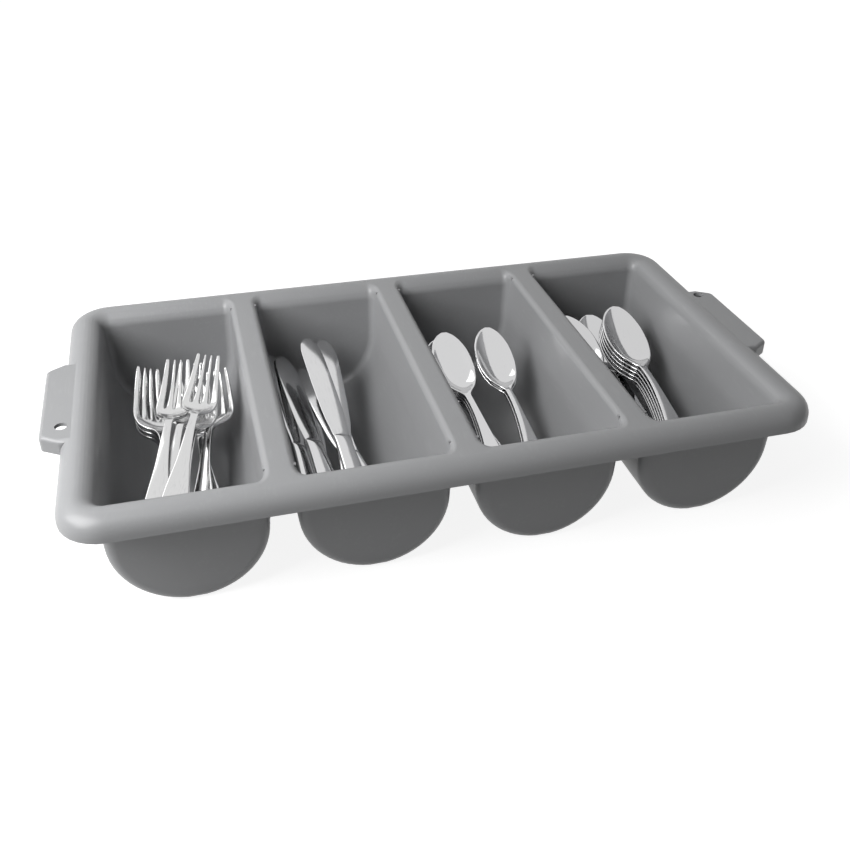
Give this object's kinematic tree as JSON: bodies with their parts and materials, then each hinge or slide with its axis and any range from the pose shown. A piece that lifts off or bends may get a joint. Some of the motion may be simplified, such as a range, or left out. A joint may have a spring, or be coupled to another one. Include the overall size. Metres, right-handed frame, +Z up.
{
  "type": "cutlery bin",
  "caption": "Open moulded cutlery bin with round-bottomed compartments, a skirted rim, an end handle at each side, and loose forks, knives, teaspoons and tablespoons.",
  "frame": {"origin": "under the middle of the bin, on the surface it stands on", "axes": "+X along the bin across its compartments, +Y along the compartments towards the heads of the cutlery, +Z up"},
  "size_m": [0.5398, 0.2922, 0.0953],
  "materials": {
    "grey_polyethylene": "semi-matt, fine moulded texture",
    "fork_steel": "mirror-polished stainless steel",
    "knife_steel": "mirror-polished stainless steel",
    "teaspoon_steel": "mirror-polished stainless steel",
    "tablespoon_steel": "mirror-polished stainless steel"
  },
  "bodies": {
    "bin": {"bin_moulding": "grey_polyethylene"},
    "fork_1": {"fork_1": "fork_steel"},
    "fork_2": {"fork_2": "fork_steel"},
    "fork_3": {"fork_3": "fork_steel"},
    "fork_4": {"fork_4": "fork_steel"},
    "fork_5": {"fork_5": "fork_steel"},
    "fork_6": {"fork_6": "fork_steel"},
    "fork_7": {"fork_7": "fork_steel"},
    "fork_8": {"fork_8": "fork_steel"},
    "fork_9": {"fork_9": "fork_steel"},
    "knife_1": {"knife_1": "knife_steel"},
    "knife_2": {"knife_2": "knife_steel"},
    "knife_3": {"knife_3": "knife_steel"},
    "knife_4": {"knife_4": "knife_steel"},
    "knife_5": {"knife_5": "knife_steel"},
    "knife_6": {"knife_6": "knife_steel"},
    "teaspoon_1": {"teaspoon_1": "teaspoon_steel"},
    "teaspoon_2": {"teaspoon_2": "teaspoon_steel"},
    "teaspoon_3": {"teaspoon_3": "teaspoon_steel"},
    "teaspoon_4": {"teaspoon_4": "teaspoon_steel"},
    "teaspoon_5": {"teaspoon_5": "teaspoon_steel"},
    "teaspoon_6": {"teaspoon_6": "teaspoon_steel"},
    "teaspoon_7": {"teaspoon_7": "teaspoon_steel"},
    "tablespoon_1": {"tablespoon_1": "tablespoon_steel"},
    "tablespoon_2": {"tablespoon_2": "tablespoon_steel"},
    "tablespoon_3": {"tablespoon_3": "tablespoon_steel"},
    "tablespoon_4": {"tablespoon_4": "tablespoon_steel"},
    "tablespoon_5": {"tablespoon_5": "tablespoon_steel"},
    "tablespoon_6": {"tablespoon_6": "tablespoon_steel"},
    "tablespoon_7": {"tablespoon_7": "tablespoon_steel"}
  },
  "joints": [
    {"name": "fork_1_lift", "type": "slide", "parent": "bin", "child": "fork_1", "axis": [0, 0, 1], "range_m": [0, 0.1]},
    {"name": "fork_2_lift", "type": "slide", "parent": "fork_1", "child": "fork_2", "axis": [0, 0, 1], "range_m": [0, 0.095]},
    {"name": "fork_3_lift", "type": "slide", "parent": "fork_2", "child": "fork_3", "axis": [0, 0, 1], "range_m": [0, 0.09]},
    {"name": "fork_4_lift", "type": "slide", "parent": "fork_3", "child": "fork_4", "axis": [0, 0, 1], "range_m": [0, 0.095]},
    {"name": "fork_5_lift", "type": "slide", "parent": "fork_4", "child": "fork_5", "axis": [0, 0, 1], "range_m": [0, 0.08]},
    {"name": "fork_6_lift", "type": "slide", "parent": "fork_5", "child": "fork_6", "axis": [0, 0, 1], "range_m": [0, 0.08]},
    {"name": "fork_7_lift", "type": "slide", "parent": "fork_6", "child": "fork_7", "axis": [0, 0, 1], "range_m": [0, 0.075]},
    {"name": "fork_8_lift", "type": "slide", "parent": "fork_7", "child": "fork_8", "axis": [0, 0, 1], "range_m": [0, 0.065]},
    {"name": "fork_9_lift", "type": "slide", "parent": "fork_8", "child": "fork_9", "axis": [0, 0, 1], "range_m": [0, 0.065]},
    {"name": "knife_1_lift", "type": "slide", "parent": "bin", "child": "knife_1", "axis": [0, 0, 1], "range_m": [0, 0.1]},
    {"name": "knife_2_lift", "type": "slide", "parent": "knife_1", "child": "knife_2", "axis": [0, 0, 1], "range_m": [0, 0.095]},
    {"name": "knife_3_lift", "type": "slide", "parent": "knife_2", "child": "knife_3", "axis": [0, 0, 1], "range_m": [0, 0.09]},
    {"name": "knife_4_lift", "type": "slide", "parent": "knife_3", "child": "knife_4", "axis": [0, 0, 1], "range_m": [0, 0.085]},
    {"name": "knife_5_lift", "type": "slide", "parent": "knife_4", "child": "knife_5", "axis": [0, 0, 1], "range_m": [0, 0.075]},
    {"name": "knife_6_lift", "type": "slide", "parent": "knife_5", "child": "knife_6", "axis": [0, 0, 1], "range_m": [0, 0.085]},
    {"name": "teaspoon_1_lift", "type": "slide", "parent": "bin", "child": "teaspoon_1", "axis": [0, 0, 1], "range_m": [0, 0.1]},
    {"name": "teaspoon_2_lift", "type": "slide", "parent": "teaspoon_1", "child": "teaspoon_2", "axis": [0, 0, 1], "range_m": [0, 0.095]},
    {"name": "teaspoon_3_lift", "type": "slide", "parent": "teaspoon_2", "child": "teaspoon_3", "axis": [0, 0, 1], "range_m": [0, 0.095]},
    {"name": "teaspoon_4_lift", "type": "slide", "parent": "teaspoon_3", "child": "teaspoon_4", "axis": [0, 0, 1], "range_m": [0, 0.09]},
    {"name": "teaspoon_5_lift", "type": "slide", "parent": "teaspoon_4", "child": "teaspoon_5", "axis": [0, 0, 1], "range_m": [0, 0.085]},
    {"name": "teaspoon_6_lift", "type": "slide", "parent": "teaspoon_1", "child": "teaspoon_6", "axis": [0, 0, 1], "range_m": [0, 0.095]},
    {"name": "teaspoon_7_lift", "type": "slide", "parent": "teaspoon_6", "child": "teaspoon_7", "axis": [0, 0, 1], "range_m": [0, 0.09]},
    {"name": "tablespoon_1_lift", "type": "slide", "parent": "bin", "child": "tablespoon_1", "axis": [0, 0, 1], "range_m": [0, 0.1]},
    {"name": "tablespoon_2_lift", "type": "slide", "parent": "tablespoon_1", "child": "tablespoon_2", "axis": [0, 0, 1], "range_m": [0, 0.095]},
    {"name": "tablespoon_3_lift", "type": "slide", "parent": "tablespoon_2", "child": "tablespoon_3", "axis": [0, 0, 1], "range_m": [0, 0.1]},
    {"name": "tablespoon_4_lift", "type": "slide", "parent": "tablespoon_3", "child": "tablespoon_4", "axis": [0, 0, 1], "range_m": [0, 0.095]},
    {"name": "tablespoon_5_lift", "type": "slide", "parent": "tablespoon_4", "child": "tablespoon_5", "axis": [0, 0, 1], "range_m": [0, 0.09]},
    {"name": "tablespoon_6_lift", "type": "slide", "parent": "tablespoon_5", "child": "tablespoon_6", "axis": [0, 0, 1], "range_m": [0, 0.085]},
    {"name": "tablespoon_7_lift", "type": "slide", "parent": "tablespoon_6", "child": "tablespoon_7", "axis": [0, 0, 1], "range_m": [0, 0.085]}
  ]
}
